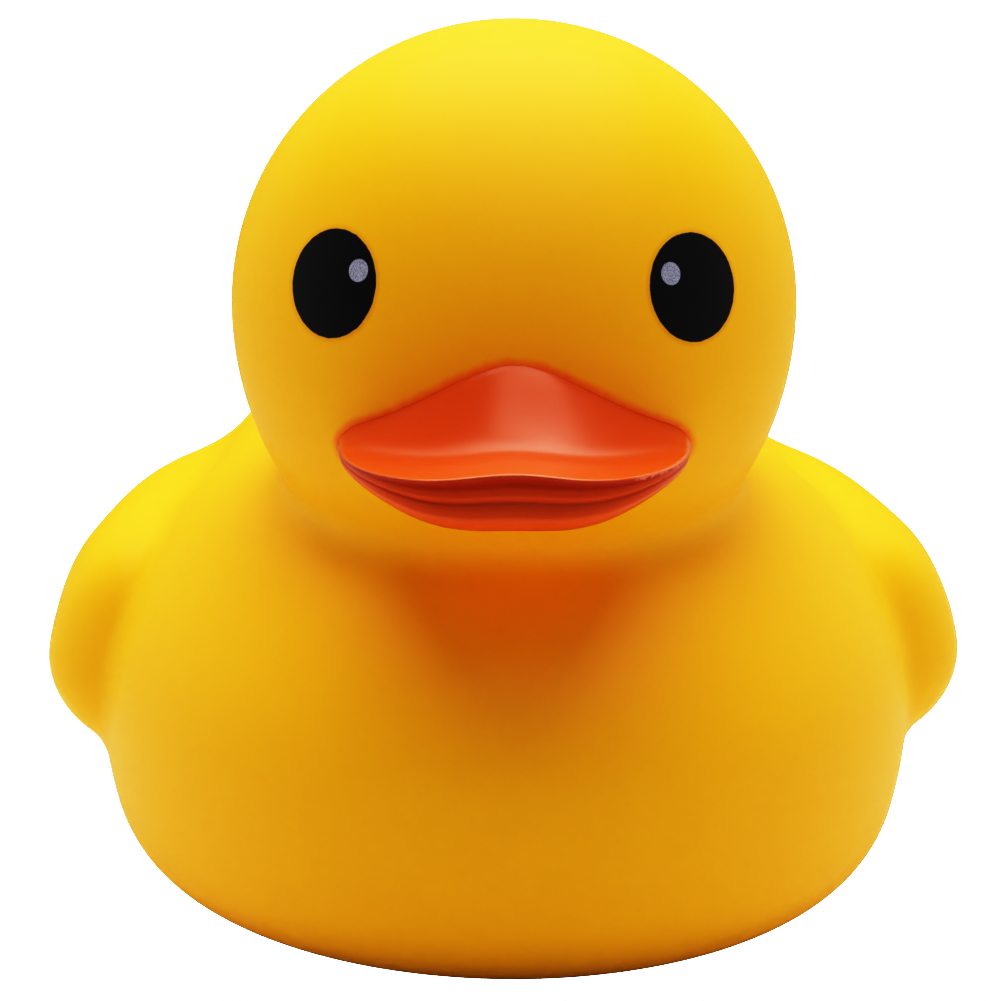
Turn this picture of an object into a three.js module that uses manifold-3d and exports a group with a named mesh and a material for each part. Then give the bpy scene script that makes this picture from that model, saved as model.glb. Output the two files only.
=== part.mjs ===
// A bath duck moulded in one piece from soft vinyl, standing on the flat of its base.
// Millimetres, +Z up. The chest and bill point along -Y, the tail along +Y, and the
// origin is on the ground under the middle of the duck.
//
// The duck is one smooth skin where four lobes run into each other: the hull, the
// upswept rump, the ball of the head and a pair of low wings that lie along the flanks.
// Each lobe is a signed distance in millimetres, negative inside, and lobes are joined
// with fillets. The bill is a shaped tongue, let into the front of the head.
import * as THREE from "three";
import { mergeVertices } from "three/addons/utils/BufferGeometryUtils.js";
import Module from "manifold-3d";

// ---- Driving dimensions ----------------------------------------------------------

// Hull: an egg, longer in front than behind, whose underside is cut off flat by the ground.
const HULL_CENTRE = { y: 9.5, z: 23.6 };
const HULL_HALF_WIDTH = 45.4;
const HULL_FRONT_LENGTH = 61.3;
const HULL_BACK_LENGTH = 44;
const HULL_DEPTH = 45.2;
const HULL_HEIGHT = 33.8;
const BASE_FILLET = 11.8;

// Rump and tail: a round cone that sweeps up and back to a blunt tip, wider than high.
const RUMP_CENTRE = { y: 34.7, z: 36.1 };
const RUMP_RADIUS = 26.3;
const TAIL_TIP = { y: 53.3, z: 60 };
const TAIL_TIP_RADIUS = 8;
const TAIL_WIDENING = 1.26;
const RUMP_FILLET = 8.6;

// Wings: a drop shape seen from the side, raised off the flank. The outline is a slice of
// a round cone, this far from its middle, so that it has no ridge along it. The edge is
// rounder below than on top, and meets the flank more sharply in front than behind.
const WING_FRONT = { y: 7, z: 28.9 };
const WING_FRONT_RADIUS = 14.4;
const WING_TIP = { y: 37.1, z: 41 };
const WING_TIP_RADIUS = 7.6;
const WING_SLICE = 6;
const WING_LIFT = 7.8;
const WING_LOWER_ROUNDING = 17.3;
const WING_UPPER_ROUNDING = 8.7;
const WING_FRONT_FILLET = 1.5;
const WING_REAR_FILLET = 3.1;

// Head: a ball, a little longer below its middle, turned slightly to its right.
const HEAD_CENTRE = { y: -14.5, z: 70.4 };
const HEAD_RADIUS = 30.3;
const HEAD_DEPTH = 33.2;
const HEAD_TURN = THREE.MathUtils.degToRad(-2.7);
const NECK_FILLET = 4;

// Bill: its plan, from the corners of the mouth to the lip, about the head's centre.
const MOUTH_Y = -20.5;
const BILL_HALF_WIDTH = 18.4;
const BILL_REACH = 26;
const BILL_TANG = 8;
const BILL_SQUARENESS = 2.4;

// Bill, upper face: the lip line, and the bridge that rises from it to the forehead and
// ends short of the corners; the ending is a power, sharper when higher.
const LIP_Z = -11.6;
const LIP_ARCH = 1.2;
const LIP_ARCH_WIDTH = 7;
const BRIDGE_HEIGHT = 8.7;
const BRIDGE_WIDTH = 14.7;
const BRIDGE_LENGTH = 5;
const BRIDGE_SHOULDER = 0.15;
const BRIDGE_TOE = 0.35;
const BRIDGE_HOLLOW = 1.15;
const BRIDGE_ENDING = 24;

// Bill, edge: [inset from the lip line, drop below it] down the front of both
// mandibles, at the tip. Under the lip is a recess, then a ridge, the line of the mouth,
// and the lower mandible.
const LIP_ROUNDING = 0.45;
const BILL_EDGE = [
  [0.0, 0.25],
  [0.9, 0.5],
  [1.3, 1.1],
  [1.15, 1.8],
  [1.1, 2.5],
  [1.5, 3.05],
  [1.3, 3.5],
  [1.15, 4.2],
  [1.25, 5.0],
  [2.5, 5.95],
  [5.5, 6.8],
];
const CORNER_DEPTH = 0.2;
const CORNER_THINNING = 1.4;

// Fineness of the skin and of the bill.
const SKIN_DETAIL = 21;
const SKIN_START = { y: -6, z: 40 };
const SKIN_REACH = 110;
const RELAX_ROUNDS = 100;
const RELAX_SHARE = 0.5;
const EVENNESS = 2;
const SETTLE_STEPS = 2;
const PROBE = 0.01;
const FLATNESS = 0.02;
const BILL_SLICES = 64;
const BILL_UPPER_STEPS = 16;
const BILL_ROWS = BILL_UPPER_STEPS + BILL_EDGE.length + 1;

// ---- The lobes -------------------------------------------------------------------

// Joins two distances with a fillet about as wide as the given size.
function blend(a, b, fillet) {
  const share = THREE.MathUtils.clamp(0.5 + (0.5 * (b - a)) / fillet, 0, 1);
  return THREE.MathUtils.lerp(b, a, share) - fillet * share * (1 - share);
}

// Keeps only what is inside both, with the edge rounded.
function meet(a, b, rounding) {
  return -blend(-a, -b, rounding);
}

// An ellipsoid about the origin.
function ellipsoid(x, y, z, a, b, c) {
  const reach = Math.hypot(x / a, y / b, z / c);
  const slope = Math.hypot(x / (a * a), y / (b * b), z / (c * c));
  return slope > 0 ? (reach * (reach - 1)) / slope : -Math.min(a, b, c);
}

// A ball of one radius swept to a ball of another, both in the plane x = 0.
function roundCone(x, y, z, start, startRadius, end, endRadius) {
  const dy = end.y - start.y;
  const dz = end.z - start.z;
  const length = Math.hypot(dy, dz);
  const lean = (startRadius - endRadius) / length;
  const along = ((y - start.y) * dy + (z - start.z) * dz) / length;
  const aside = ((z - start.z) * dy - (y - start.y) * dz) / length;
  const across = Math.hypot(x, aside);
  const flat = Math.sqrt(1 - lean * lean);
  const footing = along * flat - across * lean;
  if (footing < 0) {
    return Math.hypot(along, across) - startRadius;
  }
  if (footing > length * flat) {
    return Math.hypot(along - length, across) - endRadius;
  }
  return along * lean + across * flat - startRadius;
}

// The whole skin without the bill.
function skin(x, y, z) {
  const hullY = y - HULL_CENTRE.y;
  const hullZ = z - HULL_CENTRE.z;
  const hullLength = hullY < 0 ? HULL_FRONT_LENGTH : HULL_BACK_LENGTH;
  const hullRise = hullZ < 0 ? HULL_DEPTH : HULL_HEIGHT;
  const hull = ellipsoid(x, hullY, hullZ, HULL_HALF_WIDTH, hullLength, hullRise);
  const rump = roundCone(x / TAIL_WIDENING, y, z, RUMP_CENTRE, RUMP_RADIUS, TAIL_TIP, TAIL_TIP_RADIUS);
  const trunk = blend(hull, rump, RUMP_FILLET);

  const outline = roundCone(WING_SLICE, y, z, WING_FRONT, WING_FRONT_RADIUS, WING_TIP, WING_TIP_RADIUS);
  const upward = THREE.MathUtils.smoothstep(z, WING_FRONT.z, WING_FRONT.z + WING_FRONT_RADIUS);
  const rounding = THREE.MathUtils.lerp(WING_LOWER_ROUNDING, WING_UPPER_ROUNDING, upward);
  const wing = meet(trunk - WING_LIFT, outline, rounding);
  const rearward = THREE.MathUtils.smoothstep(y, WING_FRONT.y, WING_TIP.y);
  const wingFillet = THREE.MathUtils.lerp(WING_FRONT_FILLET, WING_REAR_FILLET, rearward);
  const winged = blend(trunk, wing, wingFillet);

  const headZ = z - HEAD_CENTRE.z;
  const headRise = headZ < 0 ? HEAD_DEPTH : HEAD_RADIUS;
  const head = ellipsoid(x, y - HEAD_CENTRE.y, headZ, HEAD_RADIUS, HEAD_RADIUS, headRise);
  return meet(blend(winged, head, NECK_FILLET), -z, BASE_FILLET);
}

// ---- Turning the skin into a closed mesh -----------------------------------------

// Drops everything but the positions, and shares the vertices that coincide.
function bare(geometry) {
  geometry.deleteAttribute("normal");
  geometry.deleteAttribute("uv");
  return mergeVertices(geometry);
}

// Moves a point straight down the slope of the field until it lies on the skin.
function settle(p) {
  for (let step = 0; step < SETTLE_STEPS; step += 1) {
    const here = skin(p.x, p.y, p.z);
    const gx = skin(p.x + PROBE, p.y, p.z) - here;
    const gy = skin(p.x, p.y + PROBE, p.z) - here;
    const gz = skin(p.x, p.y, p.z + PROBE) - here;
    const pace = (here * PROBE) / (gx * gx + gy * gy + gz * gz);
    p.x -= gx * pace;
    p.y -= gy * pace;
    p.z -= gz * pace;
  }
}

// A net of even triangles round the duck: an icosahedral ball, blown out from inside the
// chest to the skin, then evened out along it.
function skinGeometry() {
  const net = bare(new THREE.IcosahedronGeometry(1, SKIN_DETAIL));
  const position = net.getAttribute("position");
  const points = [];
  for (let i = 0; i < position.count; i += 1) {
    const ray = new THREE.Vector3().fromBufferAttribute(position, i).normalize();
    let near = 0;
    let far = SKIN_REACH;
    while (far - near > PROBE) {
      const middle = (near + far) / 2;
      const value = skin(ray.x * middle, SKIN_START.y + ray.y * middle, SKIN_START.z + ray.z * middle);
      if (value < 0) {
        near = middle;
      } else {
        far = middle;
      }
    }
    points.push(ray.multiplyScalar(near).add(new THREE.Vector3(0, SKIN_START.y, SKIN_START.z)));
  }

  const corners = net.index.array;
  const neighbours = points.map(() => new Set());
  for (let i = 0; i < corners.length; i += 1) {
    const ahead = i - (i % 3) + ((i + 1) % 3);
    neighbours[corners[i]].add(corners[ahead]);
    neighbours[corners[ahead]].add(corners[i]);
  }
  for (let round = 0; round < RELAX_ROUNDS; round += 1) {
    const goals = points.map((p, i) => {
      const goal = new THREE.Vector3();
      let total = 0;
      neighbours[i].forEach((j) => {
        const pull = p.distanceTo(points[j]) ** EVENNESS;
        goal.addScaledVector(points[j], pull);
        total += pull;
      });
      return goal.divideScalar(total);
    });
    points.forEach((p, i) => {
      p.lerp(goals[i], RELAX_SHARE);
      settle(p);
    });
  }

  points.forEach((p, i) => {
    const z = Math.abs(p.z) < FLATNESS ? 0 : p.z;
    position.setXYZ(i, p.x, p.y, z);
  });
  return net;
}

// ---- The bill --------------------------------------------------------------------

// The bill's plan outline at an angle round it: 0 is the tip, a quarter turn a corner.
function billPlan(angle) {
  const power = 2 / BILL_SQUARENESS;
  const forward = Math.cos(angle);
  const sideways = Math.sin(angle);
  const reach = forward > 0 ? BILL_REACH : BILL_TANG;
  return {
    x: BILL_HALF_WIDTH * Math.sign(sideways) * Math.abs(sideways) ** power,
    y: -reach * Math.sign(forward) * Math.abs(forward) ** power,
  };
}

// Height of the lip line above the head's centre.
function lipHeight(x) {
  return LIP_Z + LIP_ARCH * Math.exp(-((x / LIP_ARCH_WIDTH) ** 2));
}

// Height of the upper face: the lip line, plus the bridge that runs up to the head.
function upperHeight(x, y) {
  const ending = 1 - (x / BILL_HALF_WIDTH) ** BRIDGE_ENDING;
  const bridge = BRIDGE_HEIGHT * Math.exp(-((x / BRIDGE_WIDTH) ** 2)) * ending;
  const rootZ = lipHeight(x) + bridge;
  const share = Math.max(1 - (x / HEAD_RADIUS) ** 2 - (rootZ / HEAD_DEPTH) ** 2, 0);
  const rootY = -HEAD_RADIUS * Math.sqrt(share);
  const fall = blend(1 - (rootY - y) / BRIDGE_LENGTH, 1, BRIDGE_SHOULDER);
  return lipHeight(x) + bridge * meet(fall, 0, BRIDGE_TOE) ** BRIDGE_HOLLOW;
}

// How much of its depth the bill's edge keeps at a distance from the middle.
function edgeDepth(x) {
  const share = Math.max(1 - (x / BILL_HALF_WIDTH) ** 2, 0) ** CORNER_THINNING;
  return THREE.MathUtils.lerp(CORNER_DEPTH, 1, share);
}

// A point of the bill: rows run from the middle of the upper face out to the lip, down
// the edge, and in to the middle of the underside.
function billPoint(row, angle) {
  const rim = billPlan(angle);
  const radius = Math.hypot(rim.x, rim.y);
  if (row <= BILL_UPPER_STEPS) {
    const share = Math.sin((Math.PI / 2) * (row / BILL_UPPER_STEPS)) * (1 - LIP_ROUNDING / radius);
    const x = rim.x * share;
    const y = MOUTH_Y + rim.y * share;
    return new THREE.Vector3(x, y, upperHeight(x, y));
  }
  const last = BILL_EDGE.length - 1;
  const [inset, drop] = BILL_EDGE[Math.min(row - BILL_UPPER_STEPS - 1, last)];
  const share = row === BILL_ROWS ? 0 : 1 - (inset * edgeDepth(rim.x)) / radius;
  const x = rim.x * share;
  return new THREE.Vector3(x, MOUTH_Y + rim.y * share, lipHeight(x) - drop * edgeDepth(x));
}

// The bill as a closed surface about the head's centre, its tang inside the head.
function billGeometry() {
  const positions = [];
  const index = [];
  for (let row = 0; row <= BILL_ROWS; row += 1) {
    for (let slice = 0; slice < BILL_SLICES; slice += 1) {
      positions.push(...billPoint(row, (2 * Math.PI * slice) / BILL_SLICES));
      const next = (slice + 1) % BILL_SLICES;
      const [a, b] = [row * BILL_SLICES + slice, row * BILL_SLICES + next];
      const [c, d] = [a + BILL_SLICES, b + BILL_SLICES];
      if (row > 0 && row < BILL_ROWS) {
        index.push(a, c, b);
      }
      if (row < BILL_ROWS - 1) {
        index.push(b, c, d);
      }
    }
  }
  const geometry = new THREE.BufferGeometry();
  geometry.setAttribute("position", new THREE.Float32BufferAttribute(positions, 3));
  geometry.setIndex(index);
  return mergeVertices(geometry);
}

// ---- Joining bill and skin into one moulding -------------------------------------

const wasm = await Module();
wasm.setup();

function solidOf(geometry) {
  const vertProperties = geometry.getAttribute("position").array;
  const triVerts = new Uint32Array(geometry.index.array);
  return new wasm.Manifold(new wasm.Mesh({ numProp: 3, vertProperties, triVerts }));
}

function geometryOf(solid) {
  const mesh = solid.getMesh();
  const geometry = new THREE.BufferGeometry();
  geometry.setAttribute("position", new THREE.BufferAttribute(mesh.vertProperties, 3));
  geometry.setIndex(new THREE.BufferAttribute(mesh.triVerts, 1));
  geometry.computeVertexNormals();
  return geometry;
}

const bill = billGeometry();
bill.rotateZ(HEAD_TURN);
bill.translate(0, HEAD_CENTRE.y, HEAD_CENTRE.z);

const vinyl = new THREE.MeshStandardMaterial({ color: 0xf7c81a, roughness: 0.5, metalness: 0 });
const duck = new THREE.Mesh(geometryOf(solidOf(skinGeometry()).add(solidOf(bill))), vinyl);
duck.name = "duck";

const bathDuck = new THREE.Group();
bathDuck.add(duck);

export default bathDuck;
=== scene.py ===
"""A yellow vinyl bath duck with an orange bill and printed eyes, on a plain pale floor.

The duck's shape is worked out here in millimetres, with +Z up, the chest along -Y and the
origin on the ground under its middle, as in the CAD. Everything is in metres once it is
a Blender object.
"""

import math

import bmesh
import bpy
import numpy as np
from mathutils import Matrix, Vector
from mathutils.bvhtree import BVHTree

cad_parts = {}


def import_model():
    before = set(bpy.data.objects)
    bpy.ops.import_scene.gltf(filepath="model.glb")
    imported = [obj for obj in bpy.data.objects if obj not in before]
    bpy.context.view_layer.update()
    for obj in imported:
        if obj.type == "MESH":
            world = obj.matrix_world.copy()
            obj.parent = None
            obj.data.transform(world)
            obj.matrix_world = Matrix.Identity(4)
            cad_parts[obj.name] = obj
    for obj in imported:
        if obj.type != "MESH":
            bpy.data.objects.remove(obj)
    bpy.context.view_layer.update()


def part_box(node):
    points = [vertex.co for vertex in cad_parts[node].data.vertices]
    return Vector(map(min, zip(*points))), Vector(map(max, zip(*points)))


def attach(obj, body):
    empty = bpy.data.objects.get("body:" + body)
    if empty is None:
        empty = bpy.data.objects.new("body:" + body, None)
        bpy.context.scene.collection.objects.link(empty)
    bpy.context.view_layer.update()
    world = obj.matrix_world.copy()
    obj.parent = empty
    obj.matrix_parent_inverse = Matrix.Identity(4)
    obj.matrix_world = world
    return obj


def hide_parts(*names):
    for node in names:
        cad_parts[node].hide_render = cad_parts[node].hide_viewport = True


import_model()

MM = 0.001
DUCK_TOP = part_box("duck")[1].z / MM

# ---- Driving dimensions, in millimetres ------------------------------------------------

# Hull: an egg, longer in front than behind, whose underside is cut off flat by the ground.
HULL_CENTRE = (0.0, 9.5, 23.6)
HULL_HALF_WIDTH = 45.4
HULL_FRONT_LENGTH = 61.3
HULL_BACK_LENGTH = 44.0
HULL_DEPTH = 45.2
HULL_HEIGHT = 33.8
BASE_FILLET = 11.8

# Rump and tail: a round cone that sweeps up and back to a blunt tip, wider than high.
RUMP_CENTRE = (34.7, 36.1)
RUMP_RADIUS = 26.3
TAIL_TIP = (53.3, 60.0)
TAIL_TIP_RADIUS = 8.0
TAIL_WIDENING = 1.26
RUMP_FILLET = 8.6

# Wings: a drop shape seen from the side, raised off the flank. The outline is a slice of
# a round cone, this far from its middle, so that it has no ridge along it. The edge is
# rounder below than on top, and meets the flank more sharply in front than behind.
WING_FRONT = (7.0, 28.9)
WING_FRONT_RADIUS = 14.4
WING_TIP = (37.1, 41.0)
WING_TIP_RADIUS = 7.6
WING_SLICE = 6.0
WING_LIFT = 7.8
WING_LOWER_ROUNDING = 17.3
WING_UPPER_ROUNDING = 8.7
WING_FRONT_FILLET = 1.5
WING_REAR_FILLET = 3.1

# Head: a ball, a little longer below its middle, turned slightly to its right. Its top is
# the top of the duck.
HEAD_RADIUS = 30.3
HEAD_DEPTH = 33.2
HEAD_CENTRE = Vector((0.0, -14.5, DUCK_TOP - HEAD_RADIUS))
HEAD_TURN = math.radians(-2.7)
NECK_FILLET = 4.0

# Bill: its plan, from the corners of the mouth to the lip, about the head's centre.
MOUTH_Y = -20.5
BILL_HALF_WIDTH = 18.4
BILL_REACH = 26.0
BILL_TANG = 8.0
BILL_SQUARENESS = 2.4

# Bill, upper face: the lip line, and the bridge that rises from it to the forehead and
# ends short of the corners; the ending is a power, sharper when higher.
LIP_Z = -11.6
LIP_ARCH = 1.2
LIP_ARCH_WIDTH = 7.0
BRIDGE_HEIGHT = 8.7
BRIDGE_WIDTH = 14.7
BRIDGE_LENGTH = 5.0
BRIDGE_SHOULDER = 0.15
BRIDGE_TOE = 0.35
BRIDGE_HOLLOW = 1.15
BRIDGE_ENDING = 24

# Bill, edge: (inset from the lip line, drop below it, painted shade) down the front of both
# mandibles, at the tip; the shade is painted in the recesses and underneath. Under the lip
# is a recess, then a ridge, the line of the mouth, and the lower mandible.
LIP_ROUNDING = 0.45
BILL_EDGE = [
    (0.0, 0.25, 0.0),
    (0.9, 0.5, 0.7),
    (1.3, 1.1, 0.8),
    (1.15, 1.8, 0.4),
    (1.1, 2.5, 0.35),
    (1.5, 3.05, 0.45),
    (1.3, 3.5, 0.3),
    (1.15, 4.2, 0.15),
    (1.25, 5.0, 0.05),
    (2.5, 5.95, 0.1),
    (5.5, 6.8, 0.4),
]
CORNER_DEPTH = 0.2
CORNER_THINNING = 1.4

# Printed eyes, about the head's centre: the bearing of each from straight ahead, its
# height, and its radius. Each has a small round glint, towards the bill.
EYE_BEARING = (math.radians(39.4), math.radians(38.7))
EYE_ELEVATION = (math.radians(10.2), math.radians(9.5))
EYE_RADIUS = 5.7
GLINT_BEARING = (math.radians(32.9), math.radians(33.0))
GLINT_ELEVATION = (math.radians(13.2), math.radians(12.6))
GLINT_RADIUS = 1.2

# Camera: where it stands about the duck, and the point at the middle of its picture.
CAMERA_ELEVATION = math.radians(10.5)
CAMERA_BEARING = math.radians(-2.7)
CAMERA_DISTANCE = 600.0
CAMERA_CENTRE = Vector((0.0, -2.0, 48.0))
CAMERA_AIM = Vector((-0.88, -2.0, 46.25))
CAMERA_LENS = 195.3

CAMERA_CLIPPING = (0.01, 100)

# Soft boxes that face the duck: place, width, height (all in millimetres) and watts.
LIGHT_TARGET = Vector((0, 0, 45))
SOFTBOXES = {
    "top": ((0, 60, 450), 500, 450, 6.5),
    "top_back": ((0, 420, 330), 600, 300, 0.66),
    "left": ((-450, 60, 140), 450, 400, 1.03),
    "right": ((450, 60, 140), 450, 400, 0.85),
    "left_back": ((-380, 330, 140), 350, 400, 0.58),
    "right_back": ((380, 330, 140), 350, 400, 0.65),
    "left_front": ((-380, -330, 160), 350, 350, 0.30),
    "right_front": ((380, -330, 160), 350, 350, 0.53),
    "front": ((0, -620, 200), 300, 300, 0.34),
}

# One more, seen only in reflections: the sheen down the bridge of the bill.
SHEEN_BOX = ((90, -285, 460), 560, 230, 2.6)

# World: a faint even light; the camera sees it as plain white.
WORLD_LIGHT = 0.12
WHITE_LIGHT = 4.0

# Floor, and how much of the shadow on it the camera doesn't see.
FLOOR_HALF_WIDTH = 6000.0
FLOOR_COLOUR = (0.85, 0.85, 0.84, 1)
FLOOR_ROUGHNESS = 0.9
SHADOW_FADING = 0.5

# The picture's S curve, from light to brightness.
RESPONSE_CONTRAST = 2.88
RESPONSE_TOE = 0.325
RESPONSE_STEPS = 20

# Fineness of the meshes.
NET_SUBDIVISIONS = 5
NET_START = (0.0, -6.0, 40.0)
NET_REACH = 110.0
RELAX_ROUNDS = (100, 20, 8)
RELAX_SHARE = 0.5
SETTLE_STEPS = 2
PROBE = 0.01
BILL_SLICES = 256
BILL_UPPER_STEPS = 48
BILL_EDGE_STEPS = 6
BILL_UNDER_STEPS = 4


# ---- The skin as a field of signed distances -------------------------------------------


def blend(a, b, fillet):
    """Joins two distances with a fillet about as wide as the given size."""
    share = np.clip(0.5 + 0.5 * (b - a) / fillet, 0, 1)
    return b + (a - b) * share - fillet * share * (1 - share)


def meet(a, b, rounding):
    """Keeps only what is inside both, with the edge rounded."""
    return -blend(-a, -b, rounding)


def ease(value, start, end):
    """0 below start, 1 above end and smooth between."""
    share = np.clip((value - start) / (end - start), 0, 1)
    return share**2 * (3 - 2 * share)


def ellipsoid(offset, half_width, front, back, drop, rise):
    """An ellipsoid about the origin, made of quarters of differing lengths and heights."""
    length = np.where(offset[1] < 0, front, back)
    height = np.where(offset[2] < 0, drop, rise)
    axes = np.stack([np.full_like(height, half_width), length, height])
    reach = np.linalg.norm(offset / axes, axis=0)
    slope = np.linalg.norm(offset / axes**2, axis=0)
    return reach * (reach - 1) / np.maximum(slope, PROBE / NET_REACH)


def round_cone(x, y, z, start, start_radius, end, end_radius):
    """A ball of one radius swept to a ball of another, both in the plane x = 0."""
    dy, dz = end[0] - start[0], end[1] - start[1]
    length = math.hypot(dy, dz)
    lean = (start_radius - end_radius) / length
    flat = math.sqrt(1 - lean * lean)
    along = ((y - start[0]) * dy + (z - start[1]) * dz) / length
    aside = ((z - start[1]) * dy - (y - start[0]) * dz) / length
    across = np.hypot(x, aside)
    footing = along * flat - across * lean
    side = along * lean + across * flat - start_radius
    near = np.hypot(along, across) - start_radius
    far = np.hypot(along - length, across) - end_radius
    return np.where(footing < 0, near, np.where(footing > length * flat, far, side))


def skin_distance(points):
    """Distance of each point from the duck's skin without the bill, negative inside."""
    x, y, z = points.T
    hull_offset = (points - HULL_CENTRE).T
    hull_lengths = (HULL_FRONT_LENGTH, HULL_BACK_LENGTH)
    hull = ellipsoid(hull_offset, HULL_HALF_WIDTH, *hull_lengths, HULL_DEPTH, HULL_HEIGHT)
    rump = round_cone(x / TAIL_WIDENING, y, z, RUMP_CENTRE, RUMP_RADIUS, TAIL_TIP, TAIL_TIP_RADIUS)
    trunk = blend(hull, rump, RUMP_FILLET)

    outline = round_cone(WING_SLICE, y, z, WING_FRONT, WING_FRONT_RADIUS, WING_TIP, WING_TIP_RADIUS)
    upward = ease(z, WING_FRONT[1], WING_FRONT[1] + WING_FRONT_RADIUS)
    rounding = WING_LOWER_ROUNDING + (WING_UPPER_ROUNDING - WING_LOWER_ROUNDING) * upward
    wing = meet(trunk - WING_LIFT, outline, rounding)
    rearward = ease(y, WING_FRONT[0], WING_TIP[0])
    fillet = WING_FRONT_FILLET + (WING_REAR_FILLET - WING_FRONT_FILLET) * rearward
    winged = blend(trunk, wing, fillet)

    head_offset = (points - np.array(HEAD_CENTRE)).T
    head = ellipsoid(head_offset, HEAD_RADIUS, HEAD_RADIUS, HEAD_RADIUS, HEAD_DEPTH, HEAD_RADIUS)
    return meet(blend(winged, head, NECK_FILLET), -z, BASE_FILLET)


# ---- The skin as a mesh ----------------------------------------------------------------


def settle(points):
    """Moves points straight down the slope of the field until they lie on the skin."""
    for _ in range(SETTLE_STEPS):
        here = skin_distance(points)
        slope = np.stack([skin_distance(points + step) - here for step in PROBE * np.eye(3)], 1) / PROBE
        points = points - slope * (here / (slope**2).sum(1))[:, None]
    return points


def star_net():
    """An icosahedral ball, blown out from inside the chest to the skin."""
    ball = bmesh.new()
    bmesh.ops.create_icosphere(ball, subdivisions=NET_SUBDIVISIONS, radius=1)
    rays = np.array([v.co for v in ball.verts])
    faces = np.array([[v.index for v in face.verts] for face in ball.faces])
    ball.free()
    near = np.zeros(len(rays))
    far = np.full(len(rays), NET_REACH)
    while (far - near).max() > PROBE:
        middle = (near + far) / 2
        inside = skin_distance(NET_START + rays * middle[:, None]) < 0
        near = np.where(inside, middle, near)
        far = np.where(inside, far, middle)
    return NET_START + rays * near[:, None], faces


def edges_of(faces):
    """Every edge once, and for each face the edges that follow its corners."""
    sides = np.sort(np.stack([faces, np.roll(faces, -1, axis=1)], axis=2).reshape(-1, 2), axis=1)
    edges, which = np.unique(sides, axis=0, return_inverse=True)
    return edges, which.reshape(faces.shape)


def relax(points, faces, rounds):
    """Evens the net out along the skin: each point is drawn to its furthest neighbours."""
    edges, _ = edges_of(faces)
    here = np.concatenate([edges[:, 0], edges[:, 1]])
    there = np.concatenate([edges[:, 1], edges[:, 0]])
    for _ in range(rounds):
        pull = ((points[there] - points[here]) ** 2).sum(1)
        total = np.bincount(here, pull)
        goal = np.stack([np.bincount(here, pull * points[there, k]) / total for k in range(3)], 1)
        points = settle(points + RELAX_SHARE * (goal - points))
    return points


def subdivide(points, faces):
    """Each triangle becomes four."""
    edges, which = edges_of(faces)
    middles = points[edges].mean(axis=1)
    a, b, c = faces.T
    ab, bc, ca = which.T + len(points)
    parts = [(a, ab, ca), (b, bc, ab), (c, ca, bc), (ab, bc, ca)]
    return np.concatenate([points, middles]), np.concatenate([np.stack(part, 1) for part in parts])


def skin_net():
    points, faces = star_net()
    points = relax(points, faces, RELAX_ROUNDS[0])
    for rounds in RELAX_ROUNDS[1:]:
        points, faces = subdivide(points, faces)
        points = relax(settle(points), faces, rounds)
    return points, faces


# ---- The bill --------------------------------------------------------------------------


def bill_plan(angle):
    """The plan outline at an angle round the bill: 0 is the tip, a quarter turn a corner."""
    power = 2 / BILL_SQUARENESS
    forward, sideways = np.cos(angle), np.sin(angle)
    reach = np.where(forward > 0, BILL_REACH, BILL_TANG)
    x = BILL_HALF_WIDTH * np.sign(sideways) * np.abs(sideways) ** power
    y = -reach * np.sign(forward) * np.abs(forward) ** power
    return x, y


def lip_height(x):
    """Height of the lip line above the head's centre."""
    return LIP_Z + LIP_ARCH * np.exp(-((x / LIP_ARCH_WIDTH) ** 2))


def upper_height(x, y):
    """Height of the upper face: the lip line, plus the bridge that runs up to the head."""
    ending = 1 - (x / BILL_HALF_WIDTH) ** BRIDGE_ENDING
    bridge = BRIDGE_HEIGHT * np.exp(-((x / BRIDGE_WIDTH) ** 2)) * ending
    root_z = lip_height(x) + bridge
    share = np.maximum(1 - (x / HEAD_RADIUS) ** 2 - (root_z / HEAD_DEPTH) ** 2, 0)
    root_y = -HEAD_RADIUS * np.sqrt(share)
    fall = blend(1 - (root_y - y) / BRIDGE_LENGTH, 1, BRIDGE_SHOULDER)
    return lip_height(x) + bridge * meet(fall, 0, BRIDGE_TOE) ** BRIDGE_HOLLOW


def edge_depth(x):
    """How much of its depth the bill's edge keeps at a distance from the middle."""
    share = np.maximum(1 - (x / BILL_HALF_WIDTH) ** 2, 0) ** CORNER_THINNING
    return CORNER_DEPTH + (1 - CORNER_DEPTH) * share


def through(points, steps):
    """A smooth curve through the points, with so many steps between each two."""
    path = np.array([points[0], *points, points[-1]])
    t = np.linspace(0, 1, steps, endpoint=False)[:, None]
    runs = []
    for before, start, end, after in zip(path, path[1:], path[2:], path[3:]):
        bend = 2 * before - 5 * start + 4 * end - after
        twist = 3 * (start - end) + after - before
        runs.append(start + 0.5 * t * (end - before + t * (bend + t * twist)))
    return np.concatenate([*runs, path[-1:]])


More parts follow.
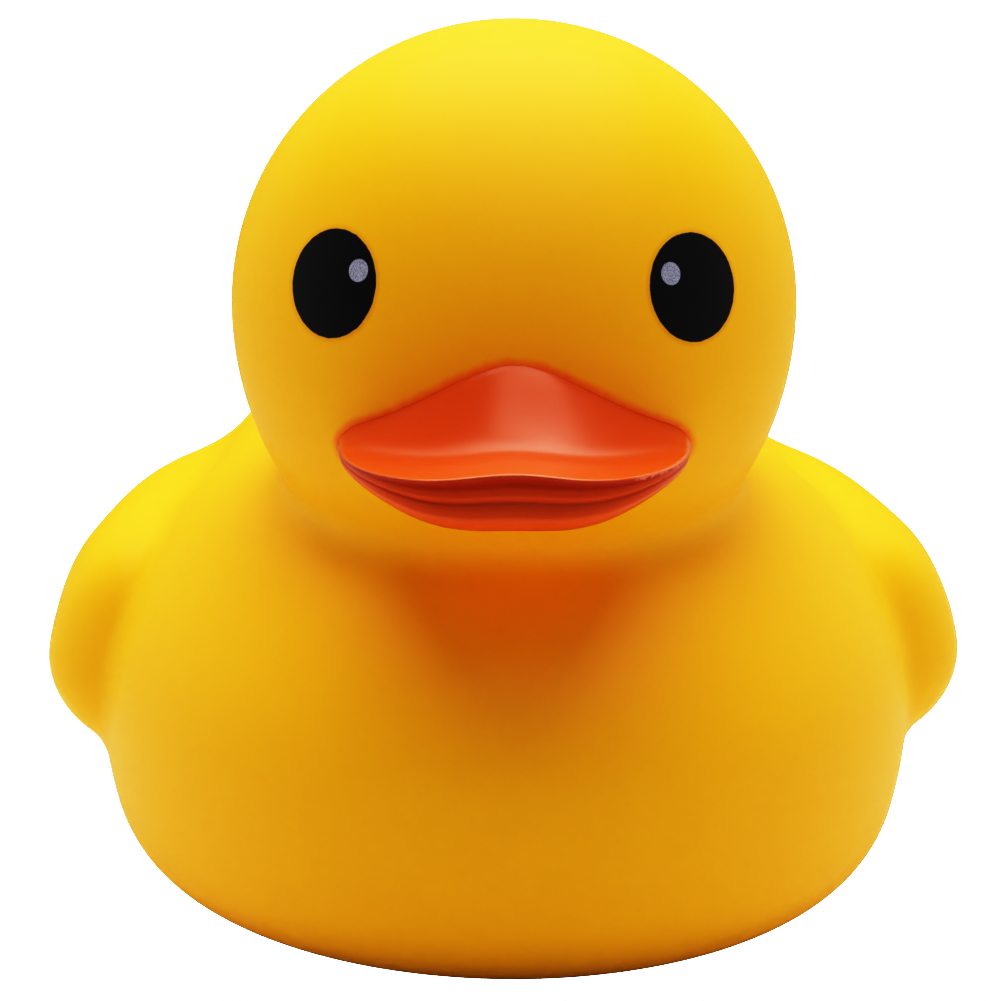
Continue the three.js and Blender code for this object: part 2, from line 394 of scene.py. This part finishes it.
def bill_rows():
    """The bill's rows of points, about the head's centre: from the middle of the upper
    face out to the lip, down the edge, and in to the middle of the underside. With each
    point are how far it is from the lip line, and how much shade is painted on it."""
    plan_x, plan_y = bill_plan(np.arange(BILL_SLICES) * math.tau / BILL_SLICES)
    radius = np.hypot(plan_x, plan_y)
    thinning = edge_depth(plan_x)
    rows = []
    for step in range(BILL_UPPER_STEPS + 1):
        share = math.sin(math.pi / 2 * step / BILL_UPPER_STEPS) * (1 - LIP_ROUNDING / radius)
        x, y = plan_x * share, MOUTH_Y + plan_y * share
        rows.append(np.stack([x, y, upper_height(x, y), radius * (1 - share), 0 * x], 1))
    edge = [(1, *point) for point in through(BILL_EDGE, BILL_EDGE_STEPS)]
    under = [(1 - step / BILL_UNDER_STEPS, *BILL_EDGE[-1]) for step in range(1, BILL_UNDER_STEPS + 1)]
    for spread, inset, drop, painted_shade in edge + under:
        share = (1 - inset * thinning / radius) * spread
        x, y = plan_x * share, MOUTH_Y + plan_y * share
        depth = drop * edge_depth(x)
        rows.append(np.stack([x, y, lip_height(x) - depth, depth, painted_shade + 0 * x], 1))
    return rows


def bill_net():
    """The bill in its place on the turned head, as points, faces and the two values of
    each point."""
    rows = bill_rows()
    table = np.concatenate([rows[0][:1], *rows[1:-1], rows[-1][:1]])
    last = len(table) - 1
    ring = np.arange(BILL_SLICES)
    after = np.roll(ring, -1)
    faces = [(0, 1 + a, 1 + b) for a, b in zip(ring, after)]
    for row in range(len(rows) - 3):
        start = 1 + row * BILL_SLICES
        under = start + BILL_SLICES
        faces += [(start + a, under + a, under + b, start + b) for a, b in zip(ring, after)]
    start = last - BILL_SLICES
    faces += [(start + a, last, start + b) for a, b in zip(ring, after)]
    turn = np.array(Matrix.Rotation(HEAD_TURN, 3, "Z"))
    points = table[:, :3] @ turn.T + np.array(HEAD_CENTRE)
    return points, faces, table[:, 3], table[:, 4]


# ---- Pieces ----------------------------------------------------------------------------


def piece_of(name, points, faces):
    """A smooth-shaded piece of vinyl, from points in millimetres."""
    mesh = bpy.data.meshes.new(name)
    mesh.from_pydata((points * MM).tolist(), [], [tuple(int(i) for i in face) for face in faces])
    mesh.shade_smooth()
    piece = bpy.data.objects.new(name, mesh)
    bpy.context.scene.collection.objects.link(piece)
    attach(piece, "root")
    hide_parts("duck")
    return piece


def give(piece, name, values):
    """Gives each point of a piece a value that its material can read."""
    piece.data.attributes.new(name, "FLOAT", "POINT").data.foreach_set("value", values)


def distances_from(solid, points):
    """How far each point is from a piece, negative inside it. Far ones share one value."""
    corners = [vertex.co / MM for vertex in solid.data.vertices]
    faces = [tuple(face.vertices) for face in solid.data.polygons]
    tree = BVHTree.FromPolygons(corners, faces)
    distances = np.full(len(points), SPRAY_LIMIT)
    for index, point in enumerate(points):
        place, _, face, distance = tree.find_nearest(Vector(point), SPRAY_LIMIT)
        if place is not None:
            normals = [solid.data.vertices[corner].normal for corner in faces[face]]
            outside = (Vector(point) - place).dot(sum(normals, Vector())) > 0
            distances[index] = distance if outside else -distance
    return distances


# ---- Materials -------------------------------------------------------------------------

YELLOW = (0.845, 0.423, 0.006, 1)
# Painted warm glow: a redder yellow for the shaded throat, standing for bounced light.
GLOW_YELLOW = (0.96, 0.43, 0.008, 1)
OVERSPRAY = (0.86, 0.15, 0.006, 1)
BLACK = (0.006, 0.006, 0.006, 1)
INK_HALO = (0.25, 0.06, 0.005, 1)
GLINT_DARK = (0.20, 0.20, 0.27, 1)
GLINT_PALE = (0.42, 0.42, 0.50, 1)
ORANGE_RED = (0.69, 0.118, 0.013, 1)
# Painted shade: the bill's orange darkened in its recesses and underneath.
SHADE_RED = (0.34, 0.026, 0.003, 1)
WORN_ORANGE = (0.90, 0.28, 0.14, 1)

# The vinyl: roughness, specular level, and how light sinks in (share, depth in
# millimetres, and spread of red, green and blue). Its grain is a size and a depth.
SKIN_ROUGHNESS = 0.52
SKIN_SPECULAR = 0.17
SKIN_SOFTNESS = 0.1
SKIN_SOFT_DEPTH = 2.0
SKIN_SOFT_SPREAD = (1.0, 0.35, 0.05)
SKIN_GRAIN = (0.5, 0.004)

# The throat's painted warm glow, standing for light bounced into its shade: its middle, and how far the
# glow is full and reaches.
THROAT = Vector((0.0, -43.0, 41.0))
THROAT_CORE = 4.0
THROAT_REACH = 20.0

# Orange that drifted off the bill: how far it reaches, half the width of its soft edge,
# the size and height of the edge's waver, and where measuring stops.
SPRAY_REACH = 0.4
SPRAY_FADE = 0.6
SPRAY_WAVER = (1.2, 0.25)
SPRAY_LIMIT = 8.0

# The printed eyes: half the width of a printed edge, the waver of the eye's edge, and
# the faint halo of ink round it. The glints are speckled.
PRINT_SOFTNESS = 0.05
EYE_WAVER = (0.8, 0.08)
HALO_WIDTH = 0.7
HALO_STRENGTH = 0.22
SPECKLE_SIZE = 0.12
SPECKLE_RANGE = (0.35, 0.65)

# The bill's paint, on clean parts and, at full painted shade, in the recesses and underneath;
# glossier where it is polished, about a spot on its upper face and along the lip.
BILL_ROUGHNESS = 0.32
BILL_RECESS_ROUGHNESS = 0.72
BILL_SPECULAR = 0.19
BILL_POLISH = 0.34
BILL_RECESS_DULLING = 0.15
BILL_GRAIN = (0.8, 0.006)
POLISH_CENTRE = HEAD_CENTRE + Vector((1.5, -33.0, -8.5))
POLISH_REACH = 11.5
LIP_POLISH = (0.8, 0.3)

# The patch where the paint is worn at the lip: where it starts across the bill, its
# distances from the lip line, the size of its speckle and its strength.
WORN_START = (9.5, 11.0)
WORN_DEPTH = (1.05, 0.75)
WORN_SPECKLE = 0.7
WORN_STRENGTH = 0.6


def plastic(name, roughness):
    """A new material and its Principled shader."""
    material = bpy.data.materials.new(name)
    material.use_nodes = True
    shader = material.node_tree.nodes["Principled BSDF"]
    shader.inputs["Roughness"].default_value = roughness
    return material, material.node_tree, shader


def put(tree, kind, inputs=(), **settings):
    """A new node; a link for each input that is a socket, and a value for the others."""
    node = tree.nodes.new(kind)
    for name, value in settings.items():
        setattr(node, name, value)
    for key, value in dict(inputs).items():
        if isinstance(value, bpy.types.NodeSocket):
            tree.links.new(value, node.inputs[key])
        else:
            node.inputs[key].default_value = value
    return node


def maths(tree, operation, *values):
    return put(tree, "ShaderNodeMath", enumerate(values), operation=operation).outputs[0]


def vector_maths(tree, operation, *values):
    node = put(tree, "ShaderNodeVectorMath", enumerate(values), operation=operation)
    return node.outputs["Value" if operation in ("DOT_PRODUCT", "DISTANCE") else "Vector"]


def ramp(tree, value, start, end):
    """0 below start, 1 above end and smooth between; start may be the larger."""
    inputs = {"Value": value, "From Min": start, "From Max": end}
    return put(tree, "ShaderNodeMapRange", inputs, interpolation_type="SMOOTHSTEP").outputs["Result"]


def mix(tree, share, below, above):
    """Mixes two colours. The node's sockets share their names between kinds of data, so
    they are picked by number: 0 is the share, 6 and 7 the colours."""
    inputs = {0: share, 6: below, 7: above}
    return put(tree, "ShaderNodeMix", inputs, data_type="RGBA").outputs[2]


def noise(tree, position, size, detail=2.0):
    """Noise from 0 to 1, its features about as wide as the given size in millimetres."""
    inputs = {"Vector": position, "Scale": 1 / (size * MM), "Detail": detail}
    return put(tree, "ShaderNodeTexNoise", inputs).outputs["Fac"]


def grain(tree, position, size, depth):
    """The normal of a surface with bumps of the given size and depth, in millimetres."""
    height = noise(tree, position, size)
    return put(tree, "ShaderNodeBump", {"Height": height, "Distance": depth * MM}).outputs["Normal"]


def facing(bearing, elevation):
    """A direction from the head's centre."""
    flat = math.cos(elevation)
    return Vector((math.sin(bearing) * flat, -math.cos(bearing) * flat, math.sin(elevation)))


def arc_from(tree, direction, centre):
    """Distance along the head from a direction, in millimetres."""
    angle = maths(tree, "ARCCOSINE", vector_maths(tree, "DOT_PRODUCT", direction, centre))
    return maths(tree, "MULTIPLY", angle, HEAD_RADIUS)


def printed(tree, distance, radius):
    """1 inside a printed spot of a radius, 0 outside it."""
    return ramp(tree, distance, radius + PRINT_SOFTNESS, radius - PRINT_SOFTNESS)


def waver(tree, position, size, height):
    """A gentle unevenness for an edge, of a size and up to a height, in millimetres."""
    return maths(tree, "MULTIPLY_ADD", noise(tree, position, size), 2 * height, -height)


def eye_print(tree, position, direction, colour, side):
    """Prints one eye and its glint over a colour; side is 0 for the duck's right."""
    sign = (-1, 1)[side]
    eye = arc_from(tree, direction, facing(sign * EYE_BEARING[side], EYE_ELEVATION[side]))
    edge = maths(tree, "ADD", eye, waver(tree, position, *EYE_WAVER))
    halo = maths(tree, "MULTIPLY", ramp(tree, edge, EYE_RADIUS + HALO_WIDTH, EYE_RADIUS), HALO_STRENGTH)
    colour = mix(tree, halo, colour, INK_HALO)
    colour = mix(tree, printed(tree, edge, EYE_RADIUS), colour, BLACK)
    glint = arc_from(tree, direction, facing(sign * GLINT_BEARING[side], GLINT_ELEVATION[side]))
    grains = ramp(tree, noise(tree, position, SPECKLE_SIZE), *SPECKLE_RANGE)
    speckle = mix(tree, grains, GLINT_DARK, GLINT_PALE)
    return mix(tree, printed(tree, glint, GLINT_RADIUS), colour, speckle)


def skin_material():
    """Yellow vinyl with a painted warm glow at the shaded throat, the bill's overspray and both eyes.
    """
    material, tree, shader = plastic("yellow_vinyl", SKIN_ROUGHNESS)
    position = put(tree, "ShaderNodeTexCoord").outputs["Object"]
    # Painted warm glow: the yellow turns redder about the shaded throat, standing for bounced light.
    from_throat = vector_maths(tree, "DISTANCE", position, THROAT * MM)
    throat_glow = ramp(tree, from_throat, THROAT_REACH * MM, THROAT_CORE * MM)
    colour = mix(tree, throat_glow, YELLOW, GLOW_YELLOW)

    from_bill = put(tree, "ShaderNodeAttribute", attribute_name="bill_distance").outputs["Fac"]
    edge = maths(tree, "ADD", from_bill, waver(tree, position, *SPRAY_WAVER))
    sprayed = ramp(tree, edge, SPRAY_REACH + SPRAY_FADE, SPRAY_REACH - SPRAY_FADE)
    colour = mix(tree, sprayed, colour, OVERSPRAY)

    on_head = vector_maths(tree, "SUBTRACT", position, HEAD_CENTRE * MM)
    inputs = {"Vector": on_head, "Angle": -HEAD_TURN}
    turned = put(tree, "ShaderNodeVectorRotate", inputs, rotation_type="Z_AXIS").outputs[0]
    direction = vector_maths(tree, "NORMALIZE", turned)
    for side in (0, 1):
        colour = eye_print(tree, position, direction, colour, side)

    tree.links.new(colour, shader.inputs["Base Color"])
    tree.links.new(grain(tree, position, *SKIN_GRAIN), shader.inputs["Normal"])
    shader.inputs["Subsurface Weight"].default_value = SKIN_SOFTNESS
    shader.inputs["Subsurface Radius"].default_value = SKIN_SOFT_SPREAD
    shader.inputs["Subsurface Scale"].default_value = SKIN_SOFT_DEPTH * MM
    shader.inputs["Specular IOR Level"].default_value = SKIN_SPECULAR
    return material


def bill_colour(tree, position, lip_distance, painted_shade):
    """Orange paint, with shade painted darker red in the recesses and underneath, and worn at one place
    of the lip.
    """
    # Painted shade in the recesses and underneath: the orange darkens towards a deep red.
    colour = mix(tree, painted_shade, ORANGE_RED, SHADE_RED)
    across = put(tree, "ShaderNodeSeparateXYZ", {0: position}).outputs["X"]
    patch = ramp(tree, across, WORN_START[0] * MM, WORN_START[1] * MM)
    speckled = maths(tree, "ADD", lip_distance, noise(tree, position, WORN_SPECKLE))
    worn = maths(tree, "MULTIPLY", patch, ramp(tree, speckled, *WORN_DEPTH))
    return mix(tree, maths(tree, "MULTIPLY", worn, WORN_STRENGTH), colour, WORN_ORANGE)


def bill_gloss(tree, position, lip_distance, painted_shade):
    """The paint's specular level: polished by touch, duller in the recesses."""
    from_spot = vector_maths(tree, "DISTANCE", position, POLISH_CENTRE * MM)
    rubbed = ramp(tree, from_spot, POLISH_REACH * MM, 0.0)
    polish = maths(tree, "MAXIMUM", rubbed, ramp(tree, lip_distance, *LIP_POLISH))
    gloss = maths(tree, "MULTIPLY_ADD", polish, BILL_POLISH, BILL_SPECULAR)
    return maths(tree, "SUBTRACT", gloss, maths(tree, "MULTIPLY", painted_shade, BILL_RECESS_DULLING))


def bill_material():
    material, tree, shader = plastic("orange_paint", BILL_ROUGHNESS)
    position = put(tree, "ShaderNodeTexCoord").outputs["Object"]
    painted_shade = put(tree, "ShaderNodeAttribute", attribute_name="painted_shade").outputs["Fac"]
    lip_distance = put(tree, "ShaderNodeAttribute", attribute_name="lip_distance").outputs["Fac"]
    colour = bill_colour(tree, position, lip_distance, painted_shade)
    gloss = bill_gloss(tree, position, lip_distance, painted_shade)
    recess = BILL_RECESS_ROUGHNESS - BILL_ROUGHNESS
    roughness = maths(tree, "MULTIPLY_ADD", painted_shade, recess, BILL_ROUGHNESS)

    tree.links.new(colour, shader.inputs["Base Color"])
    tree.links.new(roughness, shader.inputs["Roughness"])
    tree.links.new(gloss, shader.inputs["Specular IOR Level"])
    tree.links.new(grain(tree, position, *BILL_GRAIN), shader.inputs["Normal"])
    return material


# ---- The duck --------------------------------------------------------------------------

bill_points, bill_faces, lip_distances, painted_shades = bill_net()
bill = piece_of("bill", bill_points, bill_faces)
bill.data.materials.append(bill_material())
give(bill, "lip_distance", lip_distances)
give(bill, "painted_shade", painted_shades)

skin_points, skin_faces = skin_net()
skin = piece_of("skin", skin_points, skin_faces)
skin.data.materials.append(skin_material())
give(skin, "bill_distance", distances_from(bill, skin_points))

# ---- Floor, light and camera -----------------------------------------------------------


def floor():
    """A plain pale floor that shows only a faint shadow."""
    mesh = bpy.data.meshes.new("floor")
    half = FLOOR_HALF_WIDTH * MM
    corners = [(-half, -half, 0), (half, -half, 0), (half, half, 0), (-half, half, 0)]
    mesh.from_pydata(corners, [], [(0, 1, 2, 3)])
    plane = bpy.data.objects.new("floor", mesh)
    bpy.context.scene.collection.objects.link(plane)
    material, tree, shader = plastic("pale_floor", FLOOR_ROUGHNESS)
    shader.inputs["Base Color"].default_value = FLOOR_COLOUR
    clear = put(tree, "ShaderNodeBsdfTransparent")
    seen = put(tree, "ShaderNodeLightPath").outputs["Is Camera Ray"]
    share = maths(tree, "MULTIPLY", seen, SHADOW_FADING)
    faint = put(tree, "ShaderNodeMixShader", {0: share, 1: shader.outputs[0], 2: clear.outputs[0]})
    tree.links.new(faint.outputs[0], tree.nodes["Material Output"].inputs["Surface"])
    mesh.materials.append(material)
    plane.is_shadow_catcher = True


def softbox(name, place, width, height, power):
    """An area light that faces the middle of the duck; its place is in millimetres."""
    lamp = bpy.data.lights.new(name, "AREA")
    lamp.shape = "RECTANGLE"
    lamp.size = width * MM
    lamp.size_y = height * MM
    lamp.energy = power
    box = bpy.data.objects.new(name, lamp)
    box.location = Vector(place) * MM
    box.rotation_euler = (box.location - LIGHT_TARGET * MM).to_track_quat("Z", "Y").to_euler()
    bpy.context.scene.collection.objects.link(box)
    return box


def world():
    """An even light that the camera sees as plain white."""
    made = bpy.data.worlds.new("studio")
    made.use_nodes = True
    tree = made.node_tree
    tree.nodes.clear()
    seen = put(tree, "ShaderNodeBackground", {"Color": (1, 1, 1, 1), "Strength": WHITE_LIGHT})
    light = put(tree, "ShaderNodeBackground", {"Color": (1, 1, 1, 1), "Strength": WORLD_LIGHT})
    path = put(tree, "ShaderNodeLightPath")
    inputs = {0: path.outputs["Is Camera Ray"], 1: light.outputs[0], 2: seen.outputs[0]}
    both = put(tree, "ShaderNodeMixShader", inputs)
    put(tree, "ShaderNodeOutputWorld", {"Surface": both.outputs[0]})
    bpy.context.scene.world = made


def camera():
    """A long lens, raised a little and set slightly to the duck's right."""
    data = bpy.data.cameras.new("camera")
    data.lens = CAMERA_LENS
    data.clip_start, data.clip_end = CAMERA_CLIPPING
    eye = bpy.data.objects.new("camera", data)
    flat = math.cos(CAMERA_ELEVATION)
    aside, ahead = math.sin(CAMERA_BEARING) * flat, math.cos(CAMERA_BEARING) * flat
    back = Vector((aside, -ahead, math.sin(CAMERA_ELEVATION)))
    eye.location = (CAMERA_CENTRE + back * CAMERA_DISTANCE) * MM
    eye.rotation_euler = (eye.location - CAMERA_AIM * MM).to_track_quat("Z", "Y").to_euler()
    bpy.context.scene.collection.objects.link(eye)
    bpy.context.scene.camera = eye


def response(light):
    """How bright a light level looks in the picture, from 0 to 1: a photograph's S curve."""
    strength = light**RESPONSE_CONTRAST
    return (strength / (strength + 1)) ** RESPONSE_TOE


def linear(shown):
    """The linear value of a brightness coded for an sRGB screen."""
    return shown / 12.92 if shown < 0.04045 else ((shown + 0.055) / 1.055) ** 2.4


def film():
    """Sets the picture's tone to the response, as a curve over linear light."""
    view = bpy.context.scene.view_settings
    view.view_transform = "Standard"
    view.use_curve_mapping = True
    mapping = view.curve_mapping
    mapping.white_level = (WHITE_LIGHT,) * 3
    mapping.extend = "HORIZONTAL"
    curve = mapping.curves[3]
    for step in range(1, RESPONSE_STEPS):
        curve.points.new(0, 0)
    for step, point in enumerate(curve.points):
        light = (step / RESPONSE_STEPS) ** 2
        shown = response(light * WHITE_LIGHT) / response(WHITE_LIGHT)
        point.location = (light, linear(shown))
    mapping.update()


floor()
world()
for name, (place, width, height, power) in SOFTBOXES.items():
    softbox(name, place, width, height, power)
sheen = softbox("sheen", *SHEEN_BOX)
sheen.visible_diffuse = False
camera()
film()
